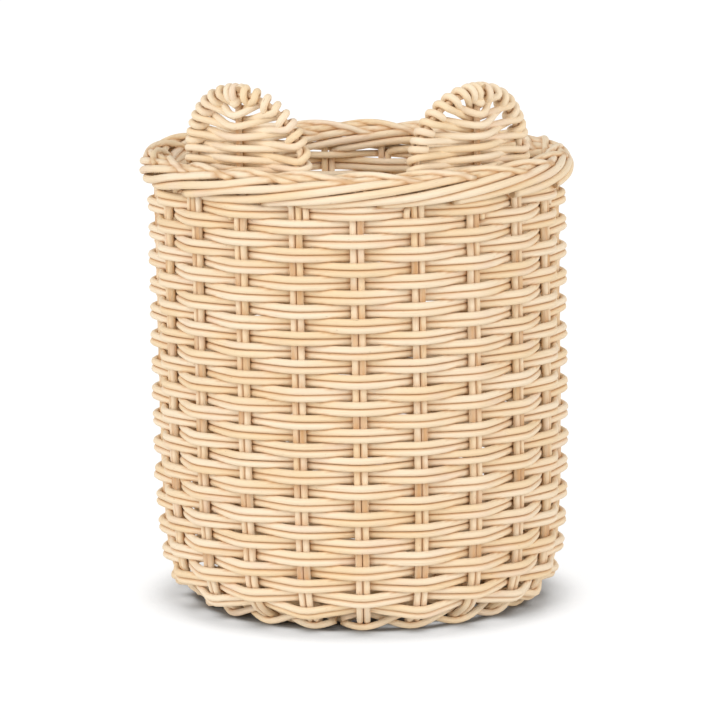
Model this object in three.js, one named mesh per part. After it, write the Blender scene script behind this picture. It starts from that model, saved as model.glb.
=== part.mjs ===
// A round basket of cane with two ears on its rim: upright stakes, doubled weavers,
// a rolled border and a woven base.
// Millimetres, +Z up. The origin is on the floor under the middle, and the front faces -Y.
import * as THREE from "three";

// Canes
const STAKE_CANE = 4; // thickness of the uprights, which also roll into the border
const WEAVER_CANE = 3.6; // thickness of the canes woven round the wall
const FOOT_CANE = 4; // thickness of the canes twined round the foot
const EAR_CANE = 3.8; // thickness of an ear's hoop and rib
const EAR_WEAVER_CANE = 2.9; // thickness of the cane woven across an ear
const GAP = 0.35; // clear space kept between canes that lie on each other

// Wall
const STAKES = 21; // an odd count, so one weaver alternates from turn to turn
const STAKE_RING = 118.7; // radius of the ring of stakes at the rim
const TAPER = 6; // how much narrower the wall is near the foot
const TAPER_HEIGHT = 100; // where that taper ends
const TUCK = 30; // how far the stakes turn in under the wall
const TUCK_FADE = 6.2; // how fast that turn dies out upwards
const PROFILE_START = 2.6; // height on that profile at which the stakes begin
const FOOT_ROW = 4.6; // distance of the twined foot row from the stakes' lower ends
const FIRST_ROW = 19.2; // distance of the first woven row from those ends
const ROW_GAP = 0.6; // clear height between one doubled row and the next
const STAKES_BEFORE_FRONT = 6; // stakes that the weavers pass before they first reach the front
const WEAVER_LENGTHS = 4; // canes joined end to end up the wall
const WOVEN_HEIGHT = 242.2; // height of the weaving up the wall, to the nearest whole stakes
const SPLICE_GAP = 1.4; // space left where one length of weaver follows another
const FOOT_BEND = 36; // length of stake that bends at the foot
const FOOT_BEND_STEPS = 9;
const STAKE_SIDES = 4;

// Border
const TAIL_SPACINGS = 7; // stake spacings that each tail runs along the rim
const TAIL_TURN = 300; // degrees that a tail winds round the roll
const TAIL_GAP = 0.9; // clear space between neighbouring tails
const ROLL_LEAN = 1.5; // how far the roll stands out over the wall

// Base
const SPOKE_WIDTH = 4;
const SPOKE_THICKNESS = 3.6;
const SPOKE_STEP_UP = 1.2; // height of a spoke's tip above the stake ends that it meets
const BASE_RISE = 3; // how much higher the middle of the base is
const BASE_WEAVER_WIDTH = 7.2; // two canes side by side
const BASE_WEAVER_THICKNESS = 3;
const BASE_TURNS = 5;

// Ears
const EAR_ANGLE = 39; // degrees of each ear from the front
const EAR_ARCH = 39; // radius of the hoop's round top
const EAR_LEG = 5; // straight part of the hoop above the border
const EAR_ROOT = 24; // part of the hoop and rib below the top of the border
const EAR_ROWS = 10; // an even count, so the cane ends on the left and then winds to the right
const EAR_FIRST_ROW = 2.5; // height of the first row above the border
const EAR_RIB_PITCH = 3.15; // height of one row at the rib
const EAR_HOOP_PITCH = 4.3; // length of hoop taken by one row
const EAR_APPROACH = 9; // length over which a row runs square to the hoop
const RIB_SWING = 4.6; // how far the rows pass before and behind the rib
const EAR_WRAPS = 8; // turns of the same cane round the top of the hoop
const WRAP_STEPS = 6;
const EAR_ARCH_STEPS = 10;
const HOOP_SIDES = 6;
const EAR_WEAVER_SIDES = 4;

const CANE_COLOUR = 0xecd2a6;
const CANE_SHADE = 0xdcb98a;
const STEP = (2 * Math.PI) / STAKES;
const rad = THREE.MathUtils.degToRad;

const basket = new THREE.Group();

function addCane(name, path, section, color) {
  addPiece(name, cane(path, section), color);
}

function addPiece(name, geometry, color = CANE_COLOUR) {
  const material = new THREE.MeshStandardMaterial({ color, roughness: 0.6, metalness: 0 });
  const mesh = new THREE.Mesh(geometry, material);
  mesh.name = name;
  basket.add(mesh);
}

// A point at an angle from the front, counted to the right, shifted sideways along the rim.
function place(angle, radius, height, sideways = 0) {
  const x = radius * Math.sin(angle) + sideways * Math.cos(angle);
  const y = -radius * Math.cos(angle) + sideways * Math.sin(angle);
  return new THREE.Vector3(x, y, height);
}

function outward(angle, across = 1, up = 0) {
  return new THREE.Vector3(across * Math.sin(angle), -across * Math.cos(angle), up);
}

function roundSection(thickness, sides) {
  const corners = Array.from({ length: sides }, (_, i) => (2 * Math.PI * (i + 0.5)) / sides);
  return corners.map((a) => [(thickness / 2) * Math.cos(a), (thickness / 2) * Math.sin(a)]);
}

function flatSection(thickness, width) {
  const t = thickness / 2;
  const w = width / 2;
  return [[t, -w], [t, w], [-t, w], [-t, -w]];
}

// A closed cane: the section is carried from stop to stop, with its first axis towards each stop's facing.
function cane(path, section) {
  const sides = section.length;
  const last = path.length - 1;
  const positions = [];
  path.forEach((stop, i) => {
    const ahead = path[Math.min(i + 1, last)].point;
    const behind = path[Math.max(i - 1, 0)].point;
    const along = stop.along ?? new THREE.Vector3().subVectors(ahead, behind).normalize();
    const facing = stop.facing.clone().addScaledVector(along, -stop.facing.dot(along)).normalize();
    const side = new THREE.Vector3().crossVectors(along, facing);
    for (const [a, b] of section) {
      const corner = stop.point.clone().addScaledVector(facing, a).addScaledVector(side, b);
      positions.push(corner.x, corner.y, corner.z);
    }
  });
  const index = [];
  for (let i = 0; i < last; i++) {
    for (let j = 0; j < sides; j++) {
      const k = (j + 1) % sides;
      const [a, b] = [i * sides + j, i * sides + k];
      index.push(a, b, b + sides, a, b + sides, a + sides);
    }
  }
  for (let j = 1; j < sides - 1; j++) {
    index.push(0, j + 1, j);
    index.push(last * sides, last * sides + j, last * sides + j + 1);
  }
  const geometry = new THREE.BufferGeometry();
  geometry.setAttribute("position", new THREE.Float32BufferAttribute(positions, 3));
  geometry.setIndex(index);
  return geometry;
}

// The wall's upright line, which the middle of every stake follows
const ROW_PITCH = 2 * WEAVER_CANE + GAP + ROW_GAP;
const STAKES_WOVEN = (STAKES * WOVEN_HEIGHT) / ROW_PITCH;
const STAKES_PER_LENGTH = 2 * Math.round(STAKES_WOVEN / WEAVER_LENGTHS / 2); // even, so each cane ends inside
const LAST_STAKE_PASSED = WEAVER_LENGTHS * STAKES_PER_LENGTH - STAKES_BEFORE_FRONT;
const TOP_ROW = FIRST_ROW + (ROW_PITCH * LAST_STAKE_PASSED) / STAKES;
const WALL_TOP = TOP_ROW + ROW_PITCH / 2;
const WALL_SAMPLES = 120;

function stakeRadius(height) {
  const taper = TAPER * Math.max(0, 1 - height / TAPER_HEIGHT) ** 2;
  return STAKE_RING - taper - TUCK * Math.exp(-height / TUCK_FADE);
}

const wallPoints = Array.from({ length: WALL_SAMPLES + 1 }, (_, i) => {
  const height = PROFILE_START + WALL_TOP * (i / WALL_SAMPLES) ** 1.5;
  return new THREE.Vector2(stakeRadius(height), height);
});
const wallCurve = new THREE.SplineCurve(wallPoints);
wallCurve.arcLengthDivisions = 8 * WALL_SAMPLES;
const WALL_LENGTH = wallCurve.getLength();

// The whole wall is lifted until its foot row stands on the floor.
const FOOT_SWING = STAKE_CANE / 2 + FOOT_CANE / 2 + GAP;
const footPoint = wallCurve.getPointAt(FOOT_ROW / WALL_LENGTH);
const footAlong = wallCurve.getTangentAt(FOOT_ROW / WALL_LENGTH);
const LIFT = FOOT_CANE / 2 + footAlong.x * FOOT_SWING - footPoint.y;

// A place on the wall: a distance up it from the stakes' lower ends, then out of it,
// sideways and up along it.
function onWall(angle, distance, out = 0, sideways = 0, up = 0) {
  const point = wallCurve.getPointAt(distance / WALL_LENGTH);
  const along = wallCurve.getTangentAt(distance / WALL_LENGTH);
  const radius = point.x + along.y * out + along.x * up;
  const height = point.y + LIFT - along.x * out + along.y * up;
  return { point: place(angle, radius, height, sideways), facing: outward(angle, along.y, -along.x) };
}

// Border roll, which rests on the top row
const PAIR = STAKE_CANE + GAP; // distance between a stake and the bye-stake beside it
const TAIL_STEP = rad(TAIL_TURN) / TAIL_SPACINGS;
const FIRST_TURN = Math.PI - rad(TAIL_TURN) / 2;
const ROLL = (STAKE_CANE + TAIL_GAP) / (2 * Math.sin(TAIL_STEP / 2)); // radius of the tails' middles
const ROW_TOP = wallCurve.getPointAt(WALL_TOP / WALL_LENGTH).y + LIFT;
const ROLL_HEIGHT = ROW_TOP + GAP + ROLL + STAKE_CANE / 2;
const BORDER_TOP = ROLL_HEIGHT + ROLL + STAKE_CANE / 2;
const ROLL_RING = STAKE_RING + ROLL_LEAN;
const TAIL_LEAD = (PAIR + STAKE_CANE) / 2 / ROLL_RING; // angle from a stake pair to its tail on the roll

// A place on the roll: turned from its lowest line, first inwards and then over the top.
// It faces back along the turn, so that a stake goes from the wall into the roll untwisted.
function onRoll(angle, turn, sideways = 0) {
  const across = -Math.sin(turn);
  const up = -Math.cos(turn);
  const point = place(angle, ROLL_RING + ROLL * across, ROLL_HEIGHT + ROLL * up, sideways);
  return { point, facing: outward(angle, -up, across) };
}

// Stakes: each rises up the wall, turns over inside the rim and winds round with its neighbours' tails.
// A bye-stake stands to the right of each one and ends in the middle of the roll.
const wallStops = Array.from({ length: FOOT_BEND_STEPS }, (_, i) => (FOOT_BEND * i) / FOOT_BEND_STEPS);
wallStops.push(FOOT_BEND, (FOOT_BEND + TAPER_HEIGHT) / 2, TAPER_HEIGHT, WALL_TOP);
const stakeSection = roundSection(STAKE_CANE, STAKE_SIDES);
const byeLead = (TAIL_LEAD + PAIR / 2 / ROLL_RING) / STEP;
const openTurn = FIRST_TURN + TAIL_STEP * ((1 + TAIL_SPACINGS) / 2 - byeLead) - Math.PI;

for (let k = 0; k < STAKES; k++) {
  const number = String(k + 1).padStart(2, "0");
  const angle = k * STEP;

  const stake = wallStops.map((distance) => onWall(angle, distance, 0, -PAIR / 2));
  for (let i = 0; i <= TAIL_SPACINGS; i++) {
    stake.push(onRoll(angle - TAIL_LEAD - i * STEP, FIRST_TURN + i * TAIL_STEP));
  }
  addCane("stake_" + number, stake, stakeSection);

  const byeStake = wallStops.map((distance) => onWall(angle, distance, 0, PAIR / 2));
  byeStake.push(onRoll(angle, openTurn, PAIR / 2));
  byeStake.push({ point: place(angle, ROLL_RING, ROLL_HEIGHT, PAIR / 2), facing: outward(angle) });
  addCane("bye_stake_" + number, byeStake, stakeSection, CANE_SHADE);
}

// Wall weavers: two canes side by side, before one stake pair and behind the next, rising to the right
const STAKE_SPACING = STEP * STAKE_RING;
const WEAVER_CLEAR = STAKE_CANE / 2 + WEAVER_CANE / 2 + GAP;
const SWING_SLOPE = (2 * WEAVER_CLEAR) / STAKE_SPACING;
const SWING_OUT = WEAVER_CLEAR + (PAIR / 2) * (SWING_SLOPE + STEP / 2);
const SWING_IN = WEAVER_CLEAR + (PAIR / 2) * (SWING_SLOPE - STEP / 2);
const weaverSection = flatSection(WEAVER_CANE, WEAVER_CANE);

for (let length = 0; length < WEAVER_LENGTHS; length++) {
  ["upper", "lower"].forEach((level, isLower) => {
    const up = ((WEAVER_CANE + GAP) / 2) * (isLower ? -1 : 1);
    const path = [];
    for (let i = 0; i <= STAKES_PER_LENGTH; i++) {
      const passed = length * STAKES_PER_LENGTH + i - STAKES_BEFORE_FRONT;
      const isOutside = Math.abs(passed) % 2 === 1;
      const distance = FIRST_ROW + (ROW_PITCH * passed) / STAKES;
      path.push(onWall(passed * STEP, distance, isOutside ? SWING_OUT : -SWING_IN, 0, up));
    }
    const beforeLast = path[STAKES_PER_LENGTH - 1].point;
    path[STAKES_PER_LENGTH].point.lerp(beforeLast, SPLICE_GAP / STAKE_SPACING);
    addCane("wall_weaver_" + (length + 1) + "_" + level, path, weaverSection);
  });
}

// Foot row: two canes that swap sides between every two stakes, and pass each other there
const footSection = flatSection(FOOT_CANE, FOOT_CANE);
const footFlat = (PAIR + STAKE_CANE) / 2;
const footPassing = (FOOT_CANE * Math.SQRT2) / 2 + 2 * GAP; // corner to corner, where the two pass each other

["a", "b"].forEach((strand, isSecond) => {
  const path = [];
  for (let k = 0; k < STAKES; k++) {
    const angle = k * STEP;
    const isOutside = (k + isSecond) % 2 === 0;
    for (const sideways of [-footFlat, footFlat]) {
      const stop = onWall(angle, FOOT_ROW, isOutside ? FOOT_SWING : -FOOT_SWING, sideways);
      stop.along = outward(angle + Math.PI / 2);
      path.push(stop);
    }
    const up = isOutside ? footPassing : -footPassing;
    if (k < STAKES - 1) path.push(onWall(angle + STEP / 2, FOOT_ROW, 0, 0, up));
  }
  for (const stop of path) stop.facing.setZ(0);
  addCane("foot_weaver_" + strand, path, footSection, CANE_SHADE);
});

// Base: crossed sticks that fan out as spokes, each up to a stake pair, and a weaver that winds outwards
const stakeEnd = wallCurve.getPointAt(0);
const stakeEndAlong = wallCurve.getTangentAt(0);
const SPOKE_TIP = stakeEnd.x - (STAKE_CANE / 2) * stakeEndAlong.y - GAP;
const SPOKE_TIP_HEIGHT = stakeEnd.y + LIFT + (STAKE_CANE / 2) * stakeEndAlong.x + SPOKE_STEP_UP;
const BASE_PITCH = BASE_WEAVER_WIDTH + GAP + ROW_GAP;
const BASE_LAST = SPOKE_TIP - BASE_WEAVER_WIDTH / 2 - GAP;
const BASE_FIRST = BASE_LAST - BASE_TURNS * BASE_PITCH;
const HUB = BASE_FIRST - BASE_WEAVER_WIDTH / 2 - GAP;

function baseHeight(radius) {
  const share = (SPOKE_TIP - radius) / (SPOKE_TIP - HUB);
  return SPOKE_TIP_HEIGHT + BASE_RISE * Math.min(1, share);
}

const outline = [];
for (let k = 0; k < STAKES; k++) {
  const corners = [[HUB, -1], [SPOKE_TIP, -1], [SPOKE_TIP, 1], [HUB, 1]];
  for (const [radius, side] of corners) {
    const corner = place(k * STEP, radius, 0, (side * SPOKE_WIDTH) / 2);
    outline.push(new THREE.Vector2(corner.x, corner.y));
  }
}
const spokeShape = new THREE.Shape(outline);
const spokes = new THREE.ExtrudeGeometry(spokeShape, { depth: SPOKE_THICKNESS, bevelEnabled: false });
const spokeCorners = spokes.getAttribute("position");
for (let i = 0; i < spokeCorners.count; i++) {
  const radius = Math.hypot(spokeCorners.getX(i), spokeCorners.getY(i));
  spokeCorners.setZ(i, spokeCorners.getZ(i) - SPOKE_THICKNESS / 2 + baseHeight(radius));
}
addPiece("base_spokes", spokes, CANE_SHADE);

const baseSection = flatSection(BASE_WEAVER_THICKNESS, BASE_WEAVER_WIDTH);
const baseRise = SPOKE_THICKNESS / 2 + BASE_WEAVER_THICKNESS / 2 + GAP;
const basePath = [];
for (let i = 0; i <= BASE_TURNS * STAKES; i++) {
  const radius = BASE_FIRST + (BASE_PITCH * i) / STAKES;
  const swing = baseRise / (1 - SPOKE_WIDTH / (STEP * (radius - BASE_WEAVER_WIDTH / 2)));
  const height = baseHeight(radius) + (i % 2 ? swing : -swing);
  const along = outward(i * STEP + Math.PI / 2);
  basePath.push({ point: place(i * STEP, radius, height), facing: new THREE.Vector3(0, 0, 1), along });
}
addCane("base_weaver", basePath, baseSection, CANE_SHADE);

// Ears: a hoop and a rib that stand inside the border, and a cane woven across them and wound over the top
const EAR_RING = ROLL_RING - ROLL - STAKE_CANE / 2 - GAP - EAR_CANE / 2;
const EAR_SPRING = BORDER_TOP + EAR_LEG; // where the hoop's legs end and its arch begins
const HOOP_LENGTH = 2 * EAR_LEG + Math.PI * EAR_ARCH; // above the border
const EAR_CLEAR = EAR_CANE / 2 + EAR_WEAVER_CANE / 2 + GAP;
const WRAP = EAR_CLEAR / Math.cos(Math.PI / WRAP_STEPS);
const hoopSection = roundSection(EAR_CANE, HOOP_SIDES);
const earWeaverSection = roundSection(EAR_WEAVER_CANE, EAR_WEAVER_SIDES);

// A place on an ear: sideways along the rim from its middle, a height, and out towards the front.
function onEar(middle, sideways, height, out = 0) {
  const angle = middle + sideways / EAR_RING;
  return { point: place(angle, EAR_RING + out, height), facing: outward(angle) };
}

// A place beside the hoop, at a length along it from the border on the left: away from its middle, and out.
function besideHoop(middle, length, away, out) {
  const arch = THREE.MathUtils.clamp((length - EAR_LEG) / EAR_ARCH, 0, Math.PI);
  const leg = Math.min(EAR_LEG, length, HOOP_LENGTH - length);
  const reach = EAR_ARCH + away;
  return onEar(middle, -reach * Math.cos(arch), BORDER_TOP + leg + reach * Math.sin(arch), out);
}

// A place on the cane that winds round the hoop, turned from the front over the outside to the back.
function roundHoop(middle, length, turn) {
  const stop = besideHoop(middle, length, WRAP * Math.sin(turn), WRAP * Math.cos(turn));
  stop.facing.subVectors(stop.point, besideHoop(middle, length, 0, 0).point);
  return stop;
}

[["left", -1], ["right", 1]].forEach(([which, sign]) => {
  const middle = sign * rad(EAR_ANGLE);

  const hoop = [onEar(middle, -EAR_ARCH, BORDER_TOP - EAR_ROOT)];
  for (let i = 0; i <= EAR_ARCH_STEPS; i++) {
    hoop.push(besideHoop(middle, EAR_LEG + (Math.PI * EAR_ARCH * i) / EAR_ARCH_STEPS, 0, 0));
  }
  hoop.push(onEar(middle, EAR_ARCH, BORDER_TOP - EAR_ROOT));
  addCane("ear_" + which + "_hoop", hoop, hoopSection);

  const ribTop = EAR_SPRING + EAR_ARCH - WRAP - EAR_WEAVER_CANE / 2 - GAP;
  const rib = [onEar(middle, 0, BORDER_TOP - EAR_ROOT), onEar(middle, 0, ribTop)];
  addCane("ear_" + which + "_rib", rib, hoopSection);

  const weaver = [];
  for (let row = 0; row < EAR_ROWS; row++) {
    const turn = row % 2 ? Math.PI : 0;
    const front = row % 2 ? -1 : 1;
    const onSide = (length) => (row % 2 ? HOOP_LENGTH - length : length);
    const length = EAR_FIRST_ROW + row * EAR_HOOP_PITCH;
    const ribHeight = BORDER_TOP + EAR_FIRST_ROW + row * EAR_RIB_PITCH;
    const between = [
      besideHoop(middle, onSide(length), -EAR_APPROACH, (front * WRAP) / 2),
      onEar(middle, 0, ribHeight, -front * RIB_SWING),
      besideHoop(middle, onSide(HOOP_LENGTH - length), -EAR_APPROACH, (front * WRAP) / 2),
    ];
    for (const stop of between) stop.facing.multiplyScalar(front);
    weaver.push(roundHoop(middle, onSide(length), turn));
    weaver.push(...between);
    weaver.push(roundHoop(middle, onSide(HOOP_LENGTH - length), turn));
    if (row === EAR_ROWS - 1) break;
    for (let i = 1; i < WRAP_STEPS / 2; i++) {
      const share = (2 * i) / WRAP_STEPS;
      const next = HOOP_LENGTH - length - EAR_HOOP_PITCH * share;
      weaver.push(roundHoop(middle, onSide(next), turn + front * Math.PI * share));
    }
  }
  const woven = EAR_FIRST_ROW + (EAR_ROWS - 1) * EAR_HOOP_PITCH;
  const wound = HOOP_LENGTH - 2 * woven - EAR_HOOP_PITCH;
  for (let i = 1; i <= EAR_WRAPS * WRAP_STEPS; i++) {
    const share = i / (EAR_WRAPS * WRAP_STEPS);
    weaver.push(roundHoop(middle, woven + wound * share, Math.PI - (2 * Math.PI * i) / WRAP_STEPS));
  }
  addCane("ear_" + which + "_weaver", weaver, earWeaverSection, CANE_SHADE);
});

export default basket;
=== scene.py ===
# %% [markdown]
# # A round cane basket with two ears
# The real basket is woven by hand from pale round cane, the core of the rattan palm: upright
# stakes in pairs, doubled weavers that pass before one pair and behind the next, a rolled border
# made of the stakes' own tails, and two round ears that stand on the rim.
# In Blender a weave can be faked with a bump map on a plain cup, but it then falls flat at every
# edge. Here each cane is drawn as a path, given a round bevel and made a mesh, so the weave is
# real from any side. The measured model is loaded first, because every piece made below takes
# the place of one of its pieces.

# %% Load the measured model
import math

import bpy
import numpy as np
from mathutils import Matrix, kdtree


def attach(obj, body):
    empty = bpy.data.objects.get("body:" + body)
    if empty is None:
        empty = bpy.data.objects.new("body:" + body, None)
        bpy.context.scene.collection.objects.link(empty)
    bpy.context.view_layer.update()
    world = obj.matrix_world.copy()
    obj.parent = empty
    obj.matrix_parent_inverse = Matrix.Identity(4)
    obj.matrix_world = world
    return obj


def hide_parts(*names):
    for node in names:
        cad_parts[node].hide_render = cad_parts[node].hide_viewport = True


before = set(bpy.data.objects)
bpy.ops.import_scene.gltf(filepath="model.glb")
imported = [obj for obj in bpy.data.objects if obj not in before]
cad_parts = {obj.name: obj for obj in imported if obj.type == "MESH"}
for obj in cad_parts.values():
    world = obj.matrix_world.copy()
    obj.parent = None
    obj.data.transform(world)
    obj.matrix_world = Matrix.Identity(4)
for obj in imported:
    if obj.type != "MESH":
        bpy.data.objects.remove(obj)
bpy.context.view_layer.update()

bpy.ops.object.select_all(action="DESELECT")
print("measured pieces:", len(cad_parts))

# %% [markdown]
# ## Sizes
# A basket maker thinks in canes: how thick they are, how many stakes stand round the rim and how
# far one row lies above the next. Each piece could have sizes of its own, but then a change to
# one would leave gaps at its neighbours. So the same few sizes place every piece below. They are
# in metres, and the front of the basket is towards -Y.

# %% Sizes of the canes and of the wall
MM = 0.001
# How thick each kind of cane is
STAKE_CANE = 4.1 * MM
WEAVER_CANE = 4.35 * MM
BORDER_CANE = 4.8 * MM
FOOT_CANE = 4.0 * MM
# How many stakes there are, the angle between them and the spacing of the two canes of a pair
STAKES = 21
STEP = 2 * math.pi / STAKES
PAIR = 4.15 * MM
# How wide the ring of stakes is, and how it tapers and tucks in towards the foot
STAKE_RING = 119.2 * MM
TAPER = 6 * MM
TAPER_HEIGHT = 100 * MM
TUCK = 30 * MM
TUCK_FADE = 6.2 * MM
# Where the foot row and the first wall row lie up the wall, and how far apart the rows are
FOOT_ROW = 4.6 * MM
FIRST_ROW = 21.1 * MM
ROW_PITCH = 8.15 * MM
# A pass is the way from one stake to the next: where weaving starts and how long a cane lasts
FIRST_PASS = -6
PASSES_PER_LENGTH = 156
WEAVER_LENGTHS = 4
LAST_PASS = FIRST_PASS + WEAVER_LENGTHS * PASSES_PER_LENGTH
WALL_TOP = FIRST_ROW + ROW_PITCH * (LAST_PASS / STAKES + 0.5)
print("rows of weaving:", round((LAST_PASS - FIRST_PASS) / STAKES, 1))

# %% [markdown]
# ## The wall's upright line
# The wall is almost straight, tapers a little towards the foot and turns in sharply under it.
# Such a line could be drawn by eye as a curve, but every row would then have to be fitted to it
# by hand. Here one formula gives the radius at each height, and the distance along the line is
# measured once. A row can then be placed by how far up the cane it sits, and pushed out of the
# wall or up along it even where the wall leans.

# %% The wall's line and places on it
# The line runs a little past the wall's top, and its points crowd towards the foot
LINE_START = 2.6 * MM
LINE_OVERRUN = 1.05
LINE_POINTS = 800
LINE_CROWDING = 1.5


def stake_radius(height):
    """How far from the basket's middle the stakes are at a height."""
    taper = TAPER * np.maximum(0, 1 - height / TAPER_HEIGHT) ** 2
    return STAKE_RING - taper - TUCK * np.exp(-height / TUCK_FADE)


line_share = np.linspace(0, 1, LINE_POINTS) ** LINE_CROWDING
wall_heights = LINE_START + LINE_OVERRUN * WALL_TOP * line_share
wall_radii = stake_radius(wall_heights)
wall_steps = np.hypot(np.diff(wall_radii), np.diff(wall_heights))
wall_run = np.concatenate([[0], np.cumsum(wall_steps)])
wall_lean = np.gradient(wall_radii, wall_run)
wall_climb = np.gradient(wall_heights, wall_run)

# The lift that sets the lowest points of the foot row on the floor
FOOT_SWING = (STAKE_CANE + FOOT_CANE) / 2
foot_height = np.interp(FOOT_ROW, wall_run, wall_heights)
foot_lean = np.interp(FOOT_ROW, wall_run, wall_lean)
LIFT = FOOT_CANE / 2 + foot_lean * FOOT_SWING - foot_height


def place(angle, radius, height, sideways=0.0):
    """Points at an angle from the front, counted to the right, shifted sideways along the rim."""
    x = radius * np.sin(angle) + sideways * np.cos(angle)
    y = -radius * np.cos(angle) + sideways * np.sin(angle)
    return np.stack(np.broadcast_arrays(x, y, height), axis=-1)


def on_wall(angle, distance, out=0.0, sideways=0.0, up=0.0):
    """Points at a distance up the wall's line, then out of the wall, sideways and up along it."""
    lean = np.interp(distance, wall_run, wall_lean)
    climb = np.interp(distance, wall_run, wall_climb)
    radius = np.interp(distance, wall_run, wall_radii) + climb * out + lean * up
    height = np.interp(distance, wall_run, wall_heights) + LIFT - lean * out + climb * up
    return place(angle, radius, height, sideways)


print("wall line:", round(float(wall_run[-1]) / MM), "mm long")

# %% [markdown]
# ## Shader maths as Python
# A finish is a tree of nodes. It could be wired up node by node, but a sum is easier to read. A
# small class holds one socket and turns + and * into Math nodes, and one method makes any other
# node from its type, its settings and its inputs.

# %% A socket that can be added and multiplied
MIXED_COLOUR = 2


class Socket:
    def __init__(self, tree, socket):
        self.tree = tree
        self.socket = socket

    def node(self, kind, settings=None, output=0, **inputs):
        """Adds a node, sets it up, and fills or links inputs by label, or by number as in i0."""
        added = self.tree.nodes.new(kind)
        for name, value in (settings or {}).items():
            setattr(added, name, value)
        for name, value in inputs.items():
            key = int(name[1:]) if name[1:].isdigit() else name.replace("_", " ")
            if isinstance(value, Socket):
                self.tree.links.new(value.socket, added.inputs[key])
            else:
                added.inputs[key].default_value = value
        return Socket(self.tree, added.outputs[output])

    def math(self, operation, first, second):
        """A Math node on two values."""
        return self.node("ShaderNodeMath", {"operation": operation}, i0=first, i1=second)

    def __add__(self, other):
        return self.math("ADD", self, other)

    def __radd__(self, other):
        return self.math("ADD", other, self)

    def __mul__(self, other):
        return self.math("MULTIPLY", self, other)

    def __rmul__(self, other):
        return self.math("MULTIPLY", other, self)

    def stretch(self, scales):
        """The same place with each axis scaled by itself."""
        settings = {"operation": "MULTIPLY"}
        return self.node("ShaderNodeVectorMath", settings, i0=self, i1=scales)

    def noise(self, detail=2.0, rough=0.5):
        """Soft noise at this place, from 0 to 1."""
        inputs = {"Scale": 1.0, "Detail": detail, "Roughness": rough}
        return self.node("ShaderNodeTexNoise", Vector=self, **inputs)

    def between(self, low, high):
        """0 below low, 1 above high and a soft step in between."""
        settings = {"interpolation_type": "SMOOTHSTEP"}
        return self.node("ShaderNodeMapRange", settings, Value=self, From_Min=low, From_Max=high)

    def mix(self, first, second):
        """One colour or the other, by this factor."""
        settings = {"data_type": "RGBA"}
        return self.node("ShaderNodeMix", settings, MIXED_COLOUR, i0=self, i6=first, i7=second)


def new_finish(name):
    """An empty material with a Principled shader, and a socket to build from."""
    finish = bpy.data.materials.new(name)
    finish.use_nodes = True
    shader = finish.node_tree.nodes["Principled BSDF"]
    return finish, shader, Socket(finish.node_tree, None)


print("shader helper ready")

# %% [markdown]
# ## The cane's finish
# Peeled cane is pale cream with fine fibres along its length. Each cane has its own tone, some
# pinker and some yellower, and now and then a brown fleck or a darker cut end. Where canes touch,
# shade falls, and it is painted into the colour as a deeper, darker orange; an attribute says how
# deep in such a crevice each point lies.
# A pattern on Object coordinates would be simpler, but it would cut straight through a cane that
# winds in and out. So every mesh carries an attribute named grain: the same point as if the cane
# were pulled straight, in millimetres, with the length in Z. Noise that is stretched along Z then
# gives fibres that follow the weave.

# %% Colours and patterns of the cane
PALE_CANE = (0.93, 0.775, 0.575, 1)
WARM_CANE = (0.885, 0.685, 0.44, 1)
PINK_CANE = (0.88, 0.69, 0.52, 1)
FIBRE_SHADE = (0.62, 0.41, 0.22, 1)
FLECK_BROWN = (0.30, 0.15, 0.06, 1)
CUT_END = (0.52, 0.34, 0.18, 1)
# Painted shade, darker and more orange, where one cane touches another
CREVICE_SHADE = (0.58, 0.29, 0.10, 1)
# How fine each pattern is across the cane, twice, and along it, in steps to the millimetre
TONE_GRAIN = (0.004, 0.004, 0.009)
BLUSH_GRAIN = (0.02, 0.02, 0.022)
FIBRE_GRAIN = (2.4, 2.4, 0.035)
COARSE_GRAIN = (0.9, 0.9, 0.02)
FLECK_GRAIN = (0.8, 0.8, 0.16)
# Between which noise values each pattern fades in
TONE_FADE = (0.40, 0.62)
BLUSH_FADE = (0.52, 0.70)
FIBRE_FADE = (0.50, 0.80)
COARSE_FADE = (0.55, 0.75)
FLECK_FADE = (0.69, 0.77)
# How much of its colour each pattern adds
BLUSH_SHARE = 0.7
FIBRE_SHARE = 0.35
COARSE_SHARE = 0.16
FLECK_SHARE = 0.55
CUT_SHARE = 0.8
CREVICE_SHADE_SHARE = 0.8
# How the surface shines and how deep its fibres are
ROUGHNESS = 0.42
FIBRE_ROUGHNESS = 0.22
SHINE = 0.15
FIBRE_RELIEF = 0.7
COARSE_RELIEF = 0.3
RELIEF_STRENGTH = 0.35
RELIEF_DEPTH = 0.2 * MM
print("cane colours: 7, patterns: 5")

# %% [markdown]
# ## The finish as nodes
# The colours are laid over one another as a painter would glaze them: the tone first, then the
# blush, the fibres, the flecks, the cut ends, and last the painted shade in the crevices. A colour
# ramp could hold them all, but one mix for each keeps them apart, so each can be changed alone.
# The fibres also drive the roughness and a slight bump.

# %% Make the rattan finish
ATTRIBUTE_VECTOR = 1
ATTRIBUTE_VALUE = 2


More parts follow.
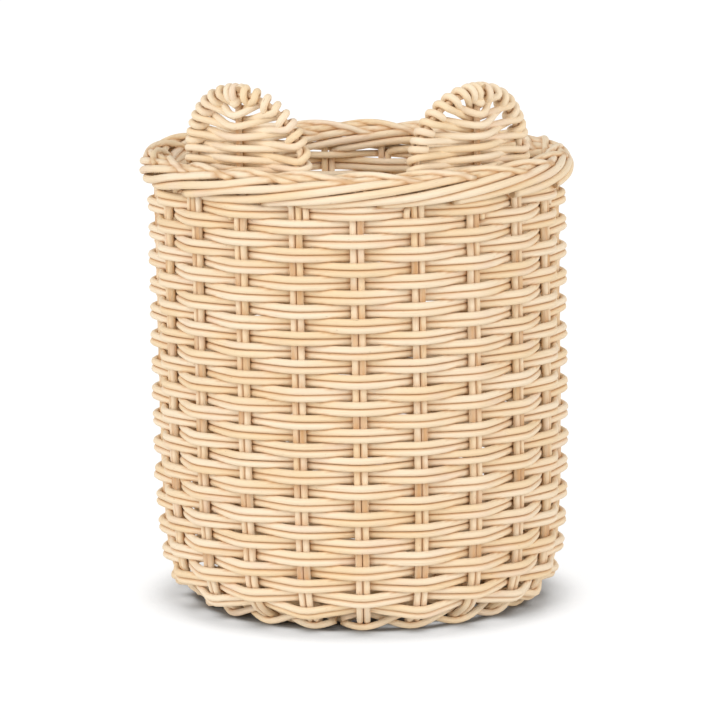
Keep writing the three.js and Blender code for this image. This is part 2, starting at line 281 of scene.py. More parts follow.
def make_rattan():
    """The finish of every cane."""
    finish, shader, make = new_finish("rattan")
    grain = make.node("ShaderNodeAttribute", {"attribute_name": "grain"}, ATTRIBUTE_VECTOR)
    cut = make.node("ShaderNodeAttribute", {"attribute_name": "cut"}, ATTRIBUTE_VALUE)
    # How deep each point lies between touching canes, for the painted shade
    crevice_shade = make.node("ShaderNodeAttribute", {"attribute_name": "crevice_shade"}, ATTRIBUTE_VALUE)
    tone = grain.stretch(TONE_GRAIN).noise(detail=1.0)
    blush = grain.stretch(BLUSH_GRAIN).noise(detail=1.0)
    fibre = grain.stretch(FIBRE_GRAIN).noise(detail=4.0, rough=0.6)
    coarse = grain.stretch(COARSE_GRAIN).noise(detail=2.0)
    fleck = grain.stretch(FLECK_GRAIN).noise(detail=3.0, rough=0.6)
    fibres = fibre.between(*FIBRE_FADE) * FIBRE_SHARE + coarse.between(*COARSE_FADE) * COARSE_SHARE
    colour = tone.between(*TONE_FADE).mix(PALE_CANE, WARM_CANE)
    colour = (blush.between(*BLUSH_FADE) * BLUSH_SHARE).mix(colour, PINK_CANE)
    colour = fibres.mix(colour, FIBRE_SHADE)
    colour = (fleck.between(*FLECK_FADE) * FLECK_SHARE).mix(colour, FLECK_BROWN)
    colour = (cut * CUT_SHARE).mix(colour, CUT_END)
    # Painted shade in the crevices between touching canes
    colour = (crevice_shade * CREVICE_SHADE_SHARE).mix(colour, CREVICE_SHADE)
    relief = fibre * FIBRE_RELIEF + coarse * COARSE_RELIEF
    depth = {"Strength": RELIEF_STRENGTH, "Distance": RELIEF_DEPTH}
    bump = make.node("ShaderNodeBump", Height=relief, **depth)
    links = finish.node_tree.links
    links.new(colour.socket, shader.inputs["Base Color"])
    links.new((fibre * FIBRE_ROUGHNESS + ROUGHNESS).socket, shader.inputs["Roughness"])
    links.new(bump.socket, shader.inputs["Normal"])
    shader.inputs["Specular IOR Level"].default_value = SHINE
    return finish


rattan = make_rattan()
print("finish:", rattan.name, "with", len(rattan.node_tree.nodes), "nodes")

# %% [markdown]
# ## One cane
# A cane is a long round rod. A cylinder could be bent along its way, but that gives a cane only
# one bend at a time. By hand you would rather draw a curve and set its bevel depth to half the
# cane's thickness, and that is done here for every strand. A radius at each point lets a cane
# grow thicker or thinner on its way. The whole basket leans a little, as a handmade one does.

# %% Draw strands along their paths
BEVEL_RESOLUTION = 3
SIDES = 4 + 2 * BEVEL_RESOLUTION
LEAN = 0.014
LEAN_MIDDLE = 150 * MM


def leaning(points):
    """The same places on a basket whose top leans a little to the left."""
    return points + np.outer(LEAN_MIDDLE - points[:, 2], (LEAN, 0, 0))


def run_along(points):
    """How far along its path each point lies."""
    steps = np.linalg.norm(np.diff(points, axis=0), axis=1)
    return np.concatenate([[0], np.cumsum(steps)])


def draw_strands(curve, strands):
    """One spline for each strand, with its girth at every point."""
    for points, girth in strands:
        spline = curve.splines.new("POLY")
        spline.points.add(len(points) - 1)
        spline.points.foreach_set("co", np.c_[leaning(points), np.ones(len(points))].ravel())
        spline.points.foreach_set("radius", np.broadcast_to(girth, len(points)).astype(float))
        spline.use_smooth = True


print("sides of a cane:", SIDES)

# %% [markdown]
# ## The grain of a cane
# Fibres run along a cane, however it winds. A UV map could carry them, but it is flat, so noise
# on it would show a seam along the cane. Three values for each point have none. The bevel makes a
# ring of points round each point of the path, in order, so the values can be filled in from the
# ring that a point belongs to. Every cane starts far from the last one, so no two look alike.

# %% Store the grain of a piece
GRAIN_SHIFT = 3170.0
# Every piece made so far, with its strands and its thickness
made = []


def store(mesh, name, kind, field, values):
    """Keeps a value at every point of a mesh, for the finish to read."""
    attribute = mesh.attributes.new(name, kind, "POINT")
    attribute.data.foreach_set(field, values)


def write_grain(mesh, strands, thickness):
    """Stores where each point lies on its cane pulled straight, and where the cane was cut."""
    around = 2 * np.pi * np.arange(SIDES) / SIDES
    reach = thickness / 2 / MM
    drawn = sum(len(others) for piece, others, width in made)
    grain = []
    cut = []
    for number, (points, girth) in enumerate(strands, drawn + 1):
        rings = np.empty((len(points), SIDES, 3))
        rings[:, :, 0] = reach * np.cos(around)
        rings[:, :, 1] = reach * np.sin(around)
        rings[:, :, 2] = (run_along(points) / MM + GRAIN_SHIFT * number)[:, None]
        ends = np.zeros((len(points), SIDES))
        ends[[0, -1]] = 1
        grain.append(rings.reshape(-1, 3))
        cut.append(ends.ravel())
    store(mesh, "grain", "FLOAT_VECTOR", "vector", np.concatenate(grain).ravel())
    store(mesh, "cut", "FLOAT", "value", np.concatenate(cut))


print("from cane to cane:", round(GRAIN_SHIFT), "mm of grain")

# %% [markdown]
# ## From paths to a piece
# A piece of the basket is one cane, or several for the base. The curve could stay a curve, but an
# attribute needs a mesh, so it is converted as by hand. Filling the open rings at both ends then
# closes the cane, without a new point. Last, the piece is told which body it rides on and given
# its material slot, and the measured piece it stands for is hidden.

# %% Make a piece from strands
def make_piece(name, strands, thickness, node):
    """Round canes along the strands' paths, as one piece that stands for a measured node."""
    curve = bpy.data.curves.new(name, "CURVE")
    curve.dimensions = "3D"
    curve.bevel_depth = thickness / 2
    curve.bevel_resolution = BEVEL_RESOLUTION
    draw_strands(curve, strands)
    piece = bpy.data.objects.new(name, curve)
    bpy.context.scene.collection.objects.link(piece)
    bpy.ops.object.select_all(action="DESELECT")
    piece.select_set(True)
    bpy.context.view_layer.objects.active = piece
    bpy.ops.object.convert(target="MESH")
    mesh = piece.data
    write_grain(mesh, strands, thickness)
    bpy.ops.object.mode_set(mode="EDIT")
    bpy.ops.mesh.select_all(action="SELECT")
    bpy.ops.mesh.fill_holes(sides=0)
    bpy.ops.object.mode_set(mode="OBJECT")
    # The four-sided faces of the round stay smooth, and the cut ends flat
    for face in mesh.polygons:
        face.use_smooth = len(face.vertices) == 4
    mesh.materials.clear()
    mesh.materials.append(rattan)
    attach(piece, "root")
    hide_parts(node)
    made.append((piece, strands, thickness))


print("pieces made so far:", len(made))

# %% [markdown]
# ## Handmade paths
# No two bends of a real cane are quite alike, and none has a corner. Noise from a texture could
# shake every point, but the cane would then look bumpy. So one random value is drawn at each
# stake and eased into the next. Where a cane turns from one run into another, a soft curve goes
# through a few stops.

# %% Unevenness and soft bends
def wander(rng, spots, amount):
    """A handmade unevenness: a random value at each whole number, with soft steps in between."""
    first = int(np.floor(spots[0]))
    values = rng.normal(0, amount, int(np.ceil(spots[-1])) - first + 2)
    whole = np.floor(spots).astype(int)
    share = spots - whole
    ease = share * share * (3 - 2 * share)
    return values[whole - first] * (1 - ease) + values[whole - first + 1] * ease


def smooth(stops, per_span):
    """A soft curve through every stop, with no overshoot between close and wide spans."""
    stops = np.asarray(stops)
    padded = np.vstack([2 * stops[0] - stops[1], stops, 2 * stops[-1] - stops[-2]])
    spans = np.sqrt(np.linalg.norm(np.diff(padded, axis=0), axis=1))
    knots = np.concatenate([[0], np.cumsum(spans)])
    path = []
    for i in range(1, len(padded) - 2):
        t0, t1, t2, t3 = knots[i - 1 : i + 3]
        p0, p1, p2, p3 = padded[i - 1 : i + 3]
        for t in np.linspace(t1, t2, per_span, endpoint=False):
            a1 = ((t1 - t) * p0 + (t - t0) * p1) / (t1 - t0)
            a2 = ((t2 - t) * p1 + (t - t1) * p2) / (t2 - t1)
            a3 = ((t3 - t) * p2 + (t - t2) * p3) / (t3 - t2)
            b1 = ((t2 - t) * a1 + (t - t0) * a2) / (t2 - t0)
            b2 = ((t3 - t) * a2 + (t - t1) * a3) / (t3 - t1)
            path.append(((t2 - t) * b1 + (t - t1) * b2) / (t2 - t1))
    path.append(stops[-1])
    return np.array(path)


print("path helpers: wander, smooth")

# %% [markdown]
# ## Ways up the wall and round the rim
# The uprights of the wall are straight, but weavers push them a little in and out. On the rim the
# canes wind round a roll, a ring with a round section. That roll could be built as a torus, but
# nothing solid is in it on the real basket. So it is only a shape to lay canes on: one helper
# gives the way up the wall and another a place on the roll.

# %% Uprights and places on the roll
# The points of an upright, close together in the tuck at the foot, and how far it sways
TUCK_RUN = 40 * MM
TUCK_POINTS = 14
STRAIGHT_START = 50 * MM
STRAIGHT_POINTS = 22
SWAY = 0.25 * MM
# How thick the roll is, how far outside the stakes it lies and how deep on the top row
ROLL = 7.2 * MM
ROLL_OUT = 1.5 * MM
ROLL_RING = STAKE_RING + ROLL_OUT
BORDER_SINK = 5.05 * MM
ROW_TOP = float(np.interp(WALL_TOP, wall_run, wall_heights)) + LIFT
ROLL_HEIGHT = ROW_TOP + ROLL + BORDER_CANE / 2 - BORDER_SINK
BORDER_TOP = ROLL_HEIGHT + ROLL + BORDER_CANE / 2


def upright_run(k, top, sideways):
    """A stake's way up the wall, with a slight sway from row to row."""
    tuck = np.linspace(0, TUCK_RUN, TUCK_POINTS)
    upright = np.concatenate([tuck, np.linspace(STRAIGHT_START, top, STRAIGHT_POINTS)])
    sway = SWAY * np.sin(upright / ROW_PITCH * math.pi)
    return on_wall(k * STEP, upright, sway, sideways)


def on_roll(angle, turn, radius):
    """Places round the roll, turned from its lowest line, first inwards and then over the top."""
    return place(angle, ROLL_RING - radius * np.sin(turn), ROLL_HEIGHT - radius * np.cos(turn))


print("border top at", round(BORDER_TOP / MM, 1), "mm")

# %% [markdown]
# ## Stakes and the rolled border
# Each stake rises up the wall, leans to the left inside the rim and winds round with its
# neighbours' tails. Seven tails lie side by side at any place, and together with the ends of the
# bye-stakes they are the border. A twisted ring would look much alike from afar, but its strands
# would have no beginning in the wall. So each tail is the stake's own cane, run on. Turning while
# it goes left makes the strands on the outside climb to the right.

# %% Make the stakes, whose tails are the border
BEND_DEPTH = 5 * MM
BEND_POINTS = 7
# A tail's length in stake spacings, where it starts, and how much shorter or longer it may be
TAIL_SPACINGS = 7
TAIL_START = 0.1
TAIL_ENDS = (-0.2, 0.9)
TAIL_POINTS = 60
TAIL_LEAD = PAIR / ROLL_RING
# How far a tail turns round the roll, and how uneven it is
TAIL_TURN = math.radians(300)
TAIL_STEP = TAIL_TURN / TAIL_SPACINGS
FIRST_TURN = math.pi - TAIL_TURN / 2
TURN_WANDER = 0.08
ROLL_WANDER = 0.5 * MM
BORDER_SEED = 11
border_rng = np.random.RandomState(BORDER_SEED)


def stake_path(k):
    """Up the wall, a bend, and round the border, where the cane is a little thicker."""
    wall = upright_run(k, WALL_TOP - BEND_DEPTH, -PAIR / 2)
    end = TAIL_SPACINGS + border_rng.uniform(*TAIL_ENDS)
    spots = np.linspace(TAIL_START, end, TAIL_POINTS)
    turn = FIRST_TURN + spots * TAIL_STEP + wander(border_rng, spots, TURN_WANDER)
    radius = ROLL + wander(border_rng, spots, ROLL_WANDER)
    tail = on_roll(k * STEP - TAIL_LEAD - spots * STEP, turn, radius)
    bend = smooth([wall[-2], wall[-1], tail[0], tail[2]], BEND_POINTS)
    bend = bend[BEND_POINTS : 2 * BEND_POINTS + 1]
    path = np.vstack([wall[:-1], bend, tail[1:]])
    thicker = BORDER_CANE / STAKE_CANE
    girth = np.interp(np.arange(len(path)), [len(wall), len(wall) + len(bend)], [1, thicker])
    return path, girth


for k in range(STAKES):
    number = f"{k + 1:02d}"
    make_piece(f"stake_cane_{number}", [stake_path(k)], STAKE_CANE, f"stake_{number}")
print("stakes:", STAKES)

# %% [markdown]
# ## Bye-stakes
# A second cane is pushed in beside each stake to stiffen the wall. It could simply stop under the
# border, but the rim would then be too regular: on the real one short strands lie across the
# long ones. So it goes up into the border, comes out inside it, crosses over it to the right,
# against the run of the tails, and is tucked in between them.

# %% Make the bye-stakes
BYE_INWARDS = 2 * MM
BYE_BEND_POINTS = 5
# How far the end goes along the rim and round the roll, and how much of that way it may run
BYE_TAIL = 2.1 * STEP
BYE_FIRST_DEGREES = 104
BYE_TURN_DEGREES = 130
BYE_ENDS = (0.84, 1.1)
BYE_POINTS = 20
# How deep both ends of that way lie in the border, and how high its middle rises from there
BYE_SUNK = 1.4 * MM
BYE_OVER = 4.2 * MM
BYE_SEED = 5
bye_rng = np.random.RandomState(BYE_SEED)


def bye_stake_path(k):
    """Up the wall, through the border and across it to the right."""
    wall = upright_run(k, WALL_TOP, PAIR / 2)
    share = np.linspace(0, bye_rng.uniform(*BYE_ENDS), BYE_POINTS)
    turn = np.radians(BYE_FIRST_DEGREES + BYE_TURN_DEGREES * share)
    radius = ROLL - BYE_SUNK + BYE_OVER * np.sin(np.pi * share)
    tail = on_roll(k * STEP + TAIL_LEAD / 2 + share * BYE_TAIL, turn, radius)
    middle = place(k * STEP, ROLL_RING - BYE_INWARDS, ROLL_HEIGHT, PAIR / 2)
    bend = smooth([wall[-1], middle, tail[0], tail[2]], BYE_BEND_POINTS)
    return np.vstack([wall, bend[1 : 2 * BYE_BEND_POINTS], tail]), 1.0


for k in range(STAKES):
    number = f"{k + 1:02d}"
    make_piece(f"bye_stake_cane_{number}", [bye_stake_path(k)], STAKE_CANE, f"bye_stake_{number}")
print("bye-stakes:", STAKES)

# %% [markdown]
# ## Wall weavers
# Two canes side by side pass before one stake pair and behind the next. Separate rings could be
# stacked, but a weaver does not stop after each row. With an odd number of stakes one long weaver
# alternates by itself from turn to turn, so the wall is a single rising spiral.
# The path is a wave round the wall, which sits a little higher outside than inside, so that no
# light falls straight through the rows. Small random shifts at every stake keep it handmade. A
# spiral leaves a wedge at either end, so the first canes start early, under the first row, and
# the last lower cane runs on under the border.

# %% Make the wall weavers
POINTS_PER_PASS = 8
CLEARANCE = 0.1 * MM
SWING = (STAKE_CANE + WEAVER_CANE) / 2 + CLEARANCE
# How sharply a cane bends at a stake, and how much higher it lies outside the wall than on it
KINK = 0.1
OUTER_RISE = 0.15 * MM
# How far the two canes of a row press together, and how uneven they are
PRESS = 0.08 * MM
ROW_WANDER = 0.18 * MM
OUT_WANDER = 0.22 * MM
UP_WANDER = 0.08 * MM
GIRTH_WANDER = 0.03
GIRTH_PASSES = 9
# In passes: the gap at each end of a length, the cane added at the spiral's two ends, and how far
# the last of it still rises
SPLICE = 0.05
FIRST_LAP = 12
LAST_LAP = 5
LAP_RISE = 4
WEAVER_SEED = 23
weaver_rng = np.random.RandomState(WEAVER_SEED)


def weave(passed):
    """1 outside the odd stakes, -1 inside the even ones and nearly straight in between."""
    return -(np.cos(np.pi * passed) + KINK * np.cos(3 * np.pi * passed)) / (1 + KINK)


def weaver_paths(length):
    """The upper and the lower cane of one length of weaving."""
    start = FIRST_PASS + length * PASSES_PER_LENGTH + SPLICE
    end = start + PASSES_PER_LENGTH - 2 * SPLICE
    early = FIRST_LAP if length == 0 else 0
    lap = LAST_LAP if length == WEAVER_LENGTHS - 1 else 0
    passes = early + PASSES_PER_LENGTH + lap
    passed = np.linspace(start - early, end + lap, passes * POINTS_PER_PASS + 1)
    shared_up = OUTER_RISE * weave(passed) + wander(weaver_rng, passed, ROW_WANDER)
    distance = FIRST_ROW + ROW_PITCH * np.minimum(passed, LAST_PASS + LAP_RISE) / STAKES
    paths = []
    for side in (1, -1):
        out = SWING * weave(passed) + wander(weaver_rng, passed, OUT_WANDER)
        apart = side * (WEAVER_CANE / 2 - PRESS)
        up = apart + shared_up + wander(weaver_rng, passed, UP_WANDER)
        girth = 1 + wander(weaver_rng, passed / GIRTH_PASSES, GIRTH_WANDER)
        kept = passed <= (end if side > 0 else end + lap)
        paths.append((on_wall(passed * STEP, distance, out, 0, up)[kept], girth[kept]))
    return paths


for length in range(WEAVER_LENGTHS):
    for level, path in zip(("upper", "lower"), weaver_paths(length)):
        label = f"{length + 1}_{level}"
        make_piece(f"wall_weaver_cane_{label}", [path], WEAVER_CANE, f"wall_weaver_{label}")
print("wall weavers:", 2 * WEAVER_LENGTHS)

# %% [markdown]
# ## Foot row
# Under the wall two canes are twined round the stakes' lower ends. Each goes out and in as the
# other goes in and out, and they swap over between the stakes, so together they make a rope that
# the basket stands on. One wavy ring would hold the stakes from one side only, so both canes are
# drawn, half a turn apart.

# %% Make the foot row
FOOT_RISE = FOOT_CANE / 2
FOOT_START = -0.45
FOOT_END = STAKES - 0.55
for strand, name in enumerate(("a", "b")):
    passed = np.linspace(FOOT_START, FOOT_END, STAKES * POINTS_PER_PASS)
    phase = np.pi * (passed + strand)
    out = FOOT_SWING * np.cos(phase)
    path = on_wall(passed * STEP, FOOT_ROW, out, 0, FOOT_RISE * np.sin(phase))
    make_piece(f"foot_weaver_cane_{name}", [(path, 1.0)], FOOT_CANE, f"foot_weaver_{name}")
print("foot canes: 2")

# %% [markdown]
# ## Sticks of the base
# A round base starts from two bundles of sticks laid crosswise, whose ends are fanned out into
# spokes, one to each stake pair. A flat disc would fill the bottom too, but it would show as a
# bare plate from above. Each stick is a soft curve from one spoke's tip through the middle to
# another's. An odd number of spokes leaves one over, which is half a stick.

# %% Make the sticks of the base
SPOKE_INSET = 1.8 * MM
SPOKE_RAISE = 2.6 * MM
SPOKE_TIP = float(wall_radii[0]) - SPOKE_INSET
SPOKE_TIP_HEIGHT = float(wall_heights[0]) + LIFT + SPOKE_RAISE
BASE_RISE = 3.6 * MM
HUB = 22 * MM
OPEN_RING = 43 * MM
SPOKE_RADII = (SPOKE_TIP, 70 * MM, OPEN_RING, 26 * MM)
HALF_STICK_RADII = (SPOKE_TIP, 70 * MM, OPEN_RING, 20 * MM)
CROSSING = (12 * MM, 0, -12 * MM)
BUNDLE = 5
BUNDLE_SPREAD = 1.05
STICK_POINTS = 5
# Each bundle's middle spoke, the spoke across from it and its level in canes
BUNDLES = ((2, 12, 0.5), (7, 17, -0.5))


def base_height(radius):
    """How high the base is: domed up towards the hub, so that it does not touch the floor."""
    return SPOKE_TIP_HEIGHT + BASE_RISE * np.minimum(1, (SPOKE_TIP - radius) / (SPOKE_TIP - HUB))


def spoke_stop(k, radius):
    """A place on the spoke under a stake pair."""
    return place(k * STEP, radius, base_height(radius))


def stick_path(first, last, shift, lift):
    """A stick that runs from one spoke's tip through the crossed bundle to another's."""
    heading = place(first * STEP, 1, 0) - place(last * STEP, 1, 0)
    heading = heading / np.linalg.norm(heading)
    beside = np.array([-heading[1], heading[0], 0])
    middle = np.array([0, 0, base_height(0) + lift])
    across = middle + beside * shift * STAKE_CANE * BUNDLE_SPREAD
    hub = [across + heading * along for along in CROSSING]
    inwards = [spoke_stop(first, radius) for radius in SPOKE_RADII]
    outwards = [spoke_stop(last, radius) for radius in reversed(SPOKE_RADII)]
    return smooth(inwards + hub + outwards, STICK_POINTS), 1.0


sticks = []
for middle_spoke, far_spoke, level in BUNDLES:
    for j in range(-(BUNDLE // 2), BUNDLE // 2 + 1):
        sticks.append(stick_path(middle_spoke + j, far_spoke - j, j, level * STAKE_CANE))
half_stick = [spoke_stop(STAKES - 1, radius) for radius in HALF_STICK_RADII]
sticks.append((smooth(half_stick, STICK_POINTS), 1.0))
make_piece("base_sticks", sticks, STAKE_CANE, "base_spokes")
print("base sticks:", len(sticks))

# %% [markdown]
# ## Weave of the base
# A doubled cane is woven round the sticks: first over three and under three, where the spokes are
# still close, and then over one and under one. It could be flat rings, but a base is looked into
# from above, where the weave shows. So it is a spiral that rises and falls over the spokes.

# %% Make the weave of the base
BASE_PITCH = 8.15 * MM
BASE_CANE = 3.8 * MM
CLOSE_TURNS = 2.5
CLOSE_GROUP = 3
OPEN_TURNS = 6
OPEN_GROUP = 1


def base_ring(first_radius, turns, group):
    """A doubled cane that winds outwards over and under groups of spokes."""
    passed = np.linspace(0, turns * STAKES, int(turns * STAKES * POINTS_PER_PASS) + 1)
    radius = first_radius + BASE_PITCH * passed / STAKES
    swing = (STAKE_CANE + BASE_CANE) / 2 * np.cos(np.pi * (passed / group + 0.5 / group))
    height = base_height(radius) + swing
    sides = (-1, 1)
    return [(place(passed * STEP, radius + side * BASE_CANE / 2, height), 1.0) for side in sides]


weaving = base_ring(HUB, CLOSE_TURNS, CLOSE_GROUP) + base_ring(OPEN_RING, OPEN_TURNS, OPEN_GROUP)
make_piece("base_weaving", weaving, BASE_CANE, "base_weaver")
print("base weaving canes:", len(weaving))

# %% [markdown]
# ## Places on an ear
# Each ear is a hoop bent from one cane, with a rib up its middle, and its feet are pushed down
# into the wall. It bends with the rim, so a flat ear turned into place would stand off at its
# sides. Here a place on an ear is given along the rim, up and outwards, and the helpers say where
# that is.

# %% Places on an ear
EAR_CANE = 3.8 * MM
EAR_WEAVER_CANE = 4.3 * MM
EAR_ARCH = 41.1 * MM
EAR_LEG = 2.3 * MM
EAR_RING = ROLL_RING - ROLL - BORDER_CANE / 2 - EAR_CANE / 2
HOOP_LENGTH = 2 * EAR_LEG + math.pi * EAR_ARCH
WRAP = (EAR_CANE + EAR_WEAVER_CANE) / 2
# The way of a foot from the border down into the wall
ROOT_GAP = 0.2 * MM
ROOT_ABOVE_ROWS = 1 * MM
ROOT_OUT = 2 * MM
ROOT_START = 7 * MM
ROOT_DEPTH = 15 * MM


def on_ear(middle, sideways, height, out=0.0):
    """A place on an ear: sideways along the rim from its middle, a height, and outwards."""
    return place(middle + sideways / EAR_RING, EAR_RING + out, height)


def beside_hoop(middle, length, away, out):
    """A place beside the hoop, at a length along it from the border on the left."""
    arch = min(max((length - EAR_LEG) / EAR_ARCH, 0), math.pi)
    leg = min(EAR_LEG, length, HOOP_LENGTH - length)
    reach = EAR_ARCH + away
    height = BORDER_TOP + leg + reach * math.sin(arch)
    return on_ear(middle, -reach * math.cos(arch), height, out)


def round_hoop(middle, length, turn):
    """A place on the cane that winds round the hoop, turned from the front over the outside."""
    return beside_hoop(middle, length, WRAP * math.sin(turn), WRAP * math.cos(turn))


def root_stops(middle, sideways):
    """The way down: past the roll, out between the stakes and down beside the nearest pair."""
    angle = middle + sideways / EAR_RING
    stake = round(angle / STEP) * STEP
    side = math.copysign(PAIR / 2 + STAKE_CANE + ROOT_GAP, sideways or angle - stake)
    return [
        on_ear(middle, sideways, BORDER_TOP),
        on_ear(middle, sideways, ROLL_HEIGHT),
        on_ear(middle, sideways, ROW_TOP + ROOT_ABOVE_ROWS, ROOT_OUT),
        on_wall(stake, WALL_TOP - ROOT_START, 0, side),
        on_wall(stake, WALL_TOP - ROOT_DEPTH, 0, side),
    ]


print("ear hoop:", round(HOOP_LENGTH / MM), "mm above the border")

# %% [markdown]
# ## Hoop and rib of an ear
# The hoop is one cane that comes up out of the wall, bends over in a half circle and goes down
# into the wall again. The rib stands in its middle and ends just under it. Half a torus would
# give the arch alone. A path gives the arch and the feet in one cane, as on the real ear.

# %% Paths of the hoop and the rib
ARCH_SPANS = 12
HOOP_POINTS = 5
RIB_SHORT = 3 * MM
RIB_POINTS = 6


def hoop_path(middle):
    """Up from the wall on the left, over the arch and down on the right."""
    lengths = [EAR_LEG + math.pi * EAR_ARCH * i / ARCH_SPANS for i in range(ARCH_SPANS + 1)]
    arch = [beside_hoop(middle, length, 0, 0) for length in lengths]
    left = root_stops(middle, -EAR_ARCH)
    right = root_stops(middle, EAR_ARCH)
    return smooth(left[::-1] + arch + right, HOOP_POINTS), 1.0


def rib_path(middle):
    """Up the middle of the ear, to just under the hoop."""
    top = on_ear(middle, 0, BORDER_TOP + EAR_LEG + EAR_ARCH - RIB_SHORT)
    return smooth(root_stops(middle, 0)[::-1] + [top], RIB_POINTS), 1.0


print("ear rib:", round((EAR_LEG + EAR_ARCH - RIB_SHORT) / MM, 1), "mm above the border")

# %% [markdown]
# ## Ears
# One cane is woven across each hoop: before the hoop and behind the rib one way, behind the hoop
# and before the rib on the way back. At each side it goes half round the hoop, and once more
# round it in the upper rows, which are spaced wider along the hoop than at the rib. That bends
# them into a V near the top. Level rows would be simpler, but they would leave the hoop's top
# bare, so the cane is drawn as one path that winds from the border to the top.

# %% Weave and make the ears
EAR_ANGLES = {"left": -38.0, "right": 40.3}
EAR_ROWS = 12
EAR_CLOSE_ROWS = 3
EAR_FIRST_ROW = 2.5 * MM
EAR_RIB_PITCH = 3.17 * MM
EAR_HOOP_PITCH = 2.4 * MM
EAR_HOOP_SPREAD = 1.35
EAR_WEAVER_POINTS = 4
# Where the cane has a stop between the hoop and the rib, as a share of the way
APPROACH = 0.3
# How often the cane goes round the hoop after a close row, a wide row and the last row
CLOSE_WRAPS = 0.5
WIDE_WRAPS = 1.5
LAST_WRAPS = 2.5
STOPS_PER_WRAP = 8


def row_length(row):
    """How far along the hoop a row starts, from the border; it ends half a row lower."""
    return EAR_FIRST_ROW + EAR_HOOP_PITCH * math.copysign(abs(row) ** EAR_HOOP_SPREAD, row)


def wraps_after(row):
    """How often the cane goes round the hoop after a row."""
    if row == EAR_ROWS - 1:
        return LAST_WRAPS
    return CLOSE_WRAPS if row < EAR_CLOSE_ROWS else WIDE_WRAPS


def ear_weaver_path(middle):
    """To and fro across the ear, and round the hoop at each side, up to the top."""
    stops = []
    for row in range(-1, EAR_ROWS):
        front = -1 if row % 2 else 1
        turn = math.pi if row % 2 else 0
        start = row_length(row)
        end = row_length(row - 0.5)
        rise = row_length(row + 1) - end
        if row == EAR_ROWS - 1:
            rise = HOOP_LENGTH - start - end
        if row % 2:
            start = HOOP_LENGTH - start
        else:
            end = HOOP_LENGTH - end
        rib_height = BORDER_TOP + EAR_FIRST_ROW + row * EAR_RIB_PITCH
        first = round_hoop(middle, start, turn)
        rib = on_ear(middle, 0, rib_height, -front * WRAP)
        last = round_hoop(middle, end, turn)
        inwards = [side + APPROACH * (rib - side) for side in (first, last)]
        stops += [first, inwards[0], rib, inwards[1], last]
        turns = wraps_after(row)
        steps = int(STOPS_PER_WRAP * turns)
        for i in range(1, steps):
            share = i / steps
            along = end + math.copysign(rise * share, HOOP_LENGTH / 2 - end)
            stops.append(round_hoop(middle, along, turn + front * 2 * math.pi * turns * share))
    return smooth(stops, EAR_WEAVER_POINTS), 1.0


for which, degrees in EAR_ANGLES.items():
    middle = math.radians(degrees)
    ear = f"ear_{which}"
    make_piece(f"{ear}_hoop_cane", [hoop_path(middle)], EAR_CANE, f"{ear}_hoop")
    make_piece(f"{ear}_rib_cane", [rib_path(middle)], EAR_CANE, f"{ear}_rib")
    make_piece(f"{ear}_weaver_cane", [ear_weaver_path(middle)], EAR_WEAVER_CANE, f"{ear}_weaver")
print("ears:", len(EAR_ANGLES))

# %% [markdown]
# ## Painted shade in the crevices
# Between canes that touch, shade falls and the real basket looks darker and more orange, and here
# that shade is painted into the colour. An ambient occlusion node could find such places, but it
# would darken wide hollows too, such as the inside. So a search tree finds the other canes near
# every point of every cane, and the gap to their surface says how deep in a crevice the point
# lies.

# %% Measure the crevices for the painted shade
AXIS_SPACING = 1.5 * MM
CREVICE_WIDTH = 1.3 * MM


def axis_points(points, reach):
    """Evenly spaced places along the middle of a cane, each with the cane's radius there."""
    run = run_along(points)
    spots = np.arange(0, run[-1], AXIS_SPACING)
    columns = [points[:, 0], points[:, 1], points[:, 2], np.broadcast_to(reach, len(points))]
    return np.stack([np.interp(spots, run, column) for column in columns], axis=1)


axes = []
for piece, strands, thickness in made:
    for points, girth in strands:
        axes.append(axis_points(leaning(points), thickness / 2 * girth))
owners = np.repeat(np.arange(len(axes)), [len(spots) for spots in axes])
all_spots = np.concatenate(axes)
reaches = all_spots[:, 3].tolist()
farthest = max(reaches) + CREVICE_WIDTH
tree = kdtree.KDTree(len(owners))
for i, spot in enumerate(all_spots[:, :3]):
    tree.insert(spot, i)
tree.balance()


def crevice_shade_depth(point, owner):
    """1 where another cane touches, 0 where the nearest is further off than a crevice is wide."""
    near = tree.find_range(point, farthest)
    gaps = [distance - reaches[i] for spot, i, distance in near if owners[i] != owner]
    return 1 - min(1, max(0, min(gaps, default=CREVICE_WIDTH) / CREVICE_WIDTH))


# Each point's crevice depth sets how much painted shade its colour gets
owner = 0
for piece, strands, thickness in made:
    crevice_shade_depths = []
    corners = iter(piece.data.vertices)
    for points, girth in strands:
        crevice_shade_depths += [crevice_shade_depth(next(corners).co, owner) for _ in range(len(points) * SIDES)]
        owner += 1
    store(piece.data, "crevice_shade", "FLOAT", "value", crevice_shade_depths)
print("canes measured:", owner)

# %% [markdown]
# ## Floor
# A product photograph has a white ground with a tight soft shadow. More light would whiten the
# floor, but it would bleach the cane too. So the floor is a pale matt plane that shows brighter
# to the camera than it is to the light, and fades into a white world. Under the foot, where the
# basket covers it, that glow is darkened into a painted contact shadow, beside the lamps' own
# shadow.

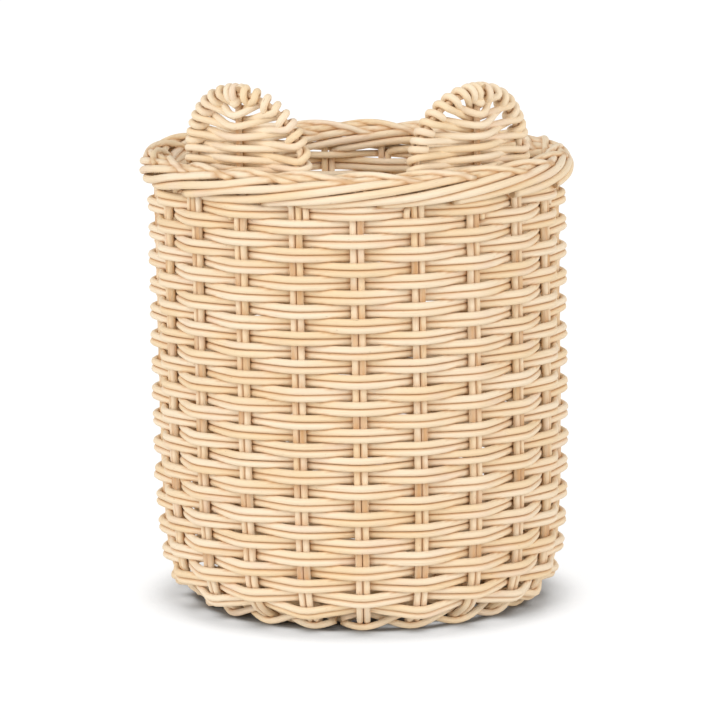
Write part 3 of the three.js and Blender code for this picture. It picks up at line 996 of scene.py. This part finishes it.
# %% Lay the floor
FLOOR_SIZE = 12
FLOOR_WHITE = (0.9, 0.9, 0.9, 1)
FLOOR_ROUGHNESS = 0.9
FLOOR_GLOW = 1.15
FLOOR_GLOW_SHARE = 0.75
CONTACT_SHADOW = 45 * MM
CONTACT_FADE = (0.15, 0.85)
COVER_VALUE = 1
BLACK = (0, 0, 0, 1)
WHITE = (1, 1, 1, 1)
bpy.ops.object.select_all(action="DESELECT")
bpy.ops.mesh.primitive_plane_add(size=FLOOR_SIZE, location=(0, 0, 0))
floor = bpy.context.object
floor.name = "floor"
floor_finish, floor_shader, make = new_finish("floor")
floor_shader.inputs["Base Color"].default_value = FLOOR_WHITE
floor_shader.inputs["Roughness"].default_value = FLOOR_ROUGHNESS
# Painted contact shadow: the floor's glow darkens where the basket is near
cover = make.node("ShaderNodeAmbientOcclusion", None, COVER_VALUE, Distance=CONTACT_SHADOW)
shade = cover.between(*CONTACT_FADE).mix(BLACK, WHITE)
glow = make.node("ShaderNodeEmission", Color=shade, Strength=FLOOR_GLOW)
seen = make.node("ShaderNodeLightPath")
matt = Socket(floor_finish.node_tree, floor_shader.outputs[0])
shown = make.node("ShaderNodeMixShader", i0=seen * FLOOR_GLOW_SHARE, i1=matt, i2=glow)
output = floor_finish.node_tree.nodes["Material Output"]
floor_finish.node_tree.links.new(shown.socket, output.inputs["Surface"])
floor.data.materials.append(floor_finish)
print("floor:", FLOOR_SIZE, "m wide")

# %% [markdown]
# ## Light
# The photograph has soft light from both sides and no hard shadow. Area lamps could give it, but
# their light falls off with distance. Two suns with a broad angle light the basket evenly from
# rim to foot, and a pale world fills in the rest. The world is white where the camera sees it and
# dimmer as a light.

# %% Light the scene
WORLD_LIGHT = 0.6
SUN_BREADTH = math.radians(60)
# Each sun's name, degrees above the floor, degrees to the right of the front, and power
SUNS = (("key_light", 20, -54, 1.55), ("fill_light", 16, 54, 1.32))

world = bpy.data.worlds.new("studio")
bpy.context.scene.world = world
world.use_nodes = True
background = world.node_tree.nodes["Background"]
in_view = Socket(world.node_tree, None).node("ShaderNodeLightPath")
strength = in_view * (1 - WORLD_LIGHT) + WORLD_LIGHT
world.node_tree.links.new(strength.socket, background.inputs["Strength"])
background.inputs["Color"].default_value = WHITE

for name, height, side, power in SUNS:
    turned = (math.radians(90 - height), 0, math.radians(side))
    bpy.ops.object.light_add(type="SUN", rotation=turned)
    lamp = bpy.context.object
    lamp.name = name
    lamp.data.angle = SUN_BREADTH
    lamp.data.energy = power
bpy.context.scene.view_settings.view_transform = "Standard"
print("lights:", len(SUNS))

# %% [markdown]
# ## Camera
# The basket was photographed from a little above, from far away. A short lens close by would show
# more of the inside and make the foot look narrow. So a long lens stands well back, and its
# height and tilt were fitted to the stake columns and the rows of the photograph.

# %% Set up the camera
CAMERA_SIDE = 0.4 * MM
CAMERA_AWAY = 2.656
CAMERA_HEIGHT = 0.627
CAMERA_PITCH = math.radians(10.32)
CAMERA_ROLL = math.radians(0.19)
CAMERA_LENS = 223.5
SENSOR_WIDTH = 36

camera_data = bpy.data.cameras.new("camera")
camera_data.lens = CAMERA_LENS
camera_data.sensor_width = SENSOR_WIDTH
camera = bpy.data.objects.new("camera", camera_data)
bpy.context.scene.collection.objects.link(camera)
tilt = Matrix.Rotation(math.pi / 2 - CAMERA_PITCH, 4, "X")
roll = Matrix.Rotation(-CAMERA_ROLL, 4, "Z")
stand = Matrix.Translation((CAMERA_SIDE, -CAMERA_AWAY, CAMERA_HEIGHT))
camera.matrix_world = stand @ (tilt @ roll)
bpy.context.scene.camera = camera
print("camera lens:", CAMERA_LENS)
